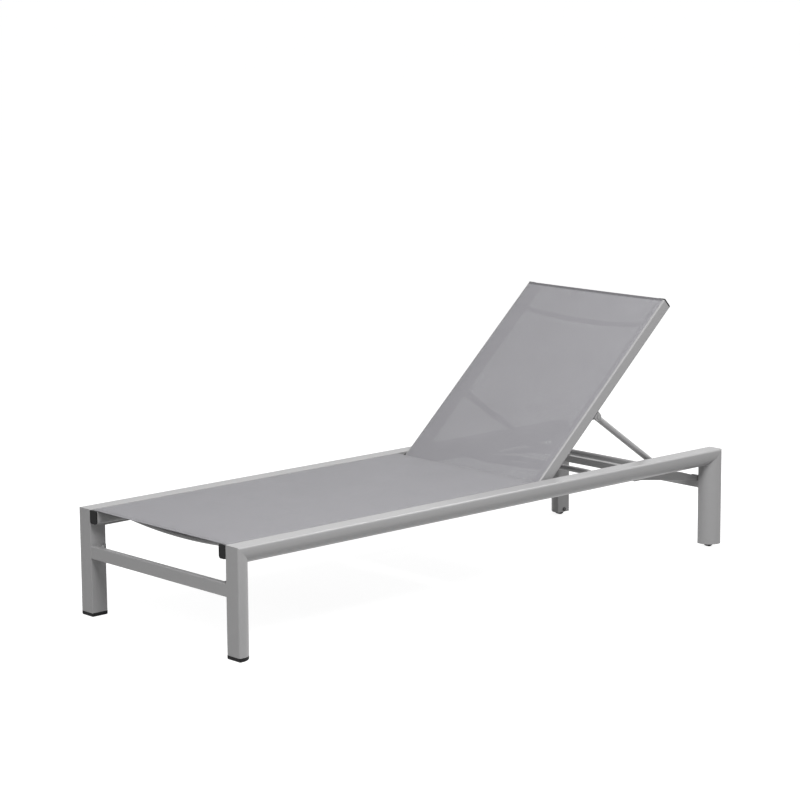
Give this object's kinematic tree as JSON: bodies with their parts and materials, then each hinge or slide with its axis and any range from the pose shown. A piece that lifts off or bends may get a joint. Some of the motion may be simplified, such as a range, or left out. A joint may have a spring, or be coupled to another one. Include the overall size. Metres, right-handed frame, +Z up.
{
  "type": "sun_lounger",
  "caption": "Armless sling sun lounger: grey metal frame, taut mesh seat, and a mesh back that a prop holds on notched racks; small rollers in the head-end legs.",
  "frame": {"origin": "centre of the bounding box, on the floor that the lounger stands on", "axes": "+X runs from the foot end to the head end, +Y to the far long side, +Z up"},
  "size_m": [2, 0.736, 0.8219],
  "materials": {
    "painted_frame": "grey powder coat on aluminium, satin, very fine grain",
    "sling_mesh": "tight grey PVC-coated mesh, matte",
    "black_plastic": "moulded black, matte",
    "grey_cord": "extruded cord",
    "steel": "plain stainless",
    "black_steel": "blackened"
  },
  "bodies": {
    "frame": {"front_foot_cap_far": "black_plastic", "front_foot_cap_near": "black_plastic", "front_leg_far": "painted_frame", "front_leg_near": "painted_frame", "front_stretcher": "painted_frame", "hinge_pins": "steel", "hinge_spacers": "black_plastic", "middle_cross_tube": "painted_frame", "rack_far": "painted_frame", "rack_near": "painted_frame", "rack_screws": "steel", "rack_spacers": "black_plastic", "rear_bar_bolts": "steel", "rear_bar_cleats": "painted_frame", "rear_cross_bar": "painted_frame", "rear_leg_far": "painted_frame", "rear_leg_near": "painted_frame", "roller_axles": "black_steel", "roller_housing_far": "black_plastic", "roller_housing_near": "black_plastic", "seat_edge_cords": "grey_cord", "seat_fabric": "sling_mesh", "seat_rail_far": "painted_frame", "seat_rail_near": "painted_frame", "seat_rail_plugs": "black_plastic", "seat_spreader_front": "painted_frame", "seat_spreader_middle": "painted_frame", "seat_spreader_rear": "painted_frame", "side_rail_far": "painted_frame", "side_rail_near": "painted_frame", "stretcher_bolts": "steel", "stretcher_cleats": "painted_frame", "tube_flange_bolts": "steel", "tube_flanges": "painted_frame"},
    "back": {"back_rail_near": "painted_frame", "back_rail_far": "painted_frame", "back_top_caps": "black_plastic", "back_lower_plugs": "black_plastic", "back_edge_cords": "grey_cord", "back_fabric": "sling_mesh", "back_spreader_lower": "painted_frame", "back_spreader_upper": "painted_frame", "hinge_blocks": "black_plastic", "prop_brackets": "painted_frame", "prop_pivot_pins": "steel"},
    "prop": {"prop_arm_near": "painted_frame", "prop_arm_far": "painted_frame", "prop_rod": "painted_frame", "prop_rod_caps": "black_plastic"},
    "roller_near": {"roller_wheel_near": "black_plastic"},
    "roller_far": {"roller_wheel_far": "black_plastic"}
  },
  "joints": [
    {"name": "back_hinge", "type": "hinge", "parent": "frame", "child": "back", "pos_m": [0.244, 0, 0.302], "axis": [0, -1, 0], "range_deg": [-42, 18]},
    {"name": "prop_hinge", "type": "hinge", "parent": "back", "child": "prop", "pos_m": [0.49212, 0, 0.48181], "axis": [0, -1, 0], "range_deg": [-31.9, 74]},
    {"name": "roller_near_axle", "type": "hinge", "parent": "frame", "child": "roller_near", "pos_m": [0.976, -0.335, 0.02], "axis": [0, 1, 0], "continuous": true},
    {"name": "roller_far_axle", "type": "hinge", "parent": "frame", "child": "roller_far", "pos_m": [0.976, 0.335, 0.02], "axis": [0, 1, 0], "continuous": true}
  ],
  "couplings": [
    {"joint": "prop_hinge", "follows": "back_hinge", "ratio": -1.7564}
  ]
}
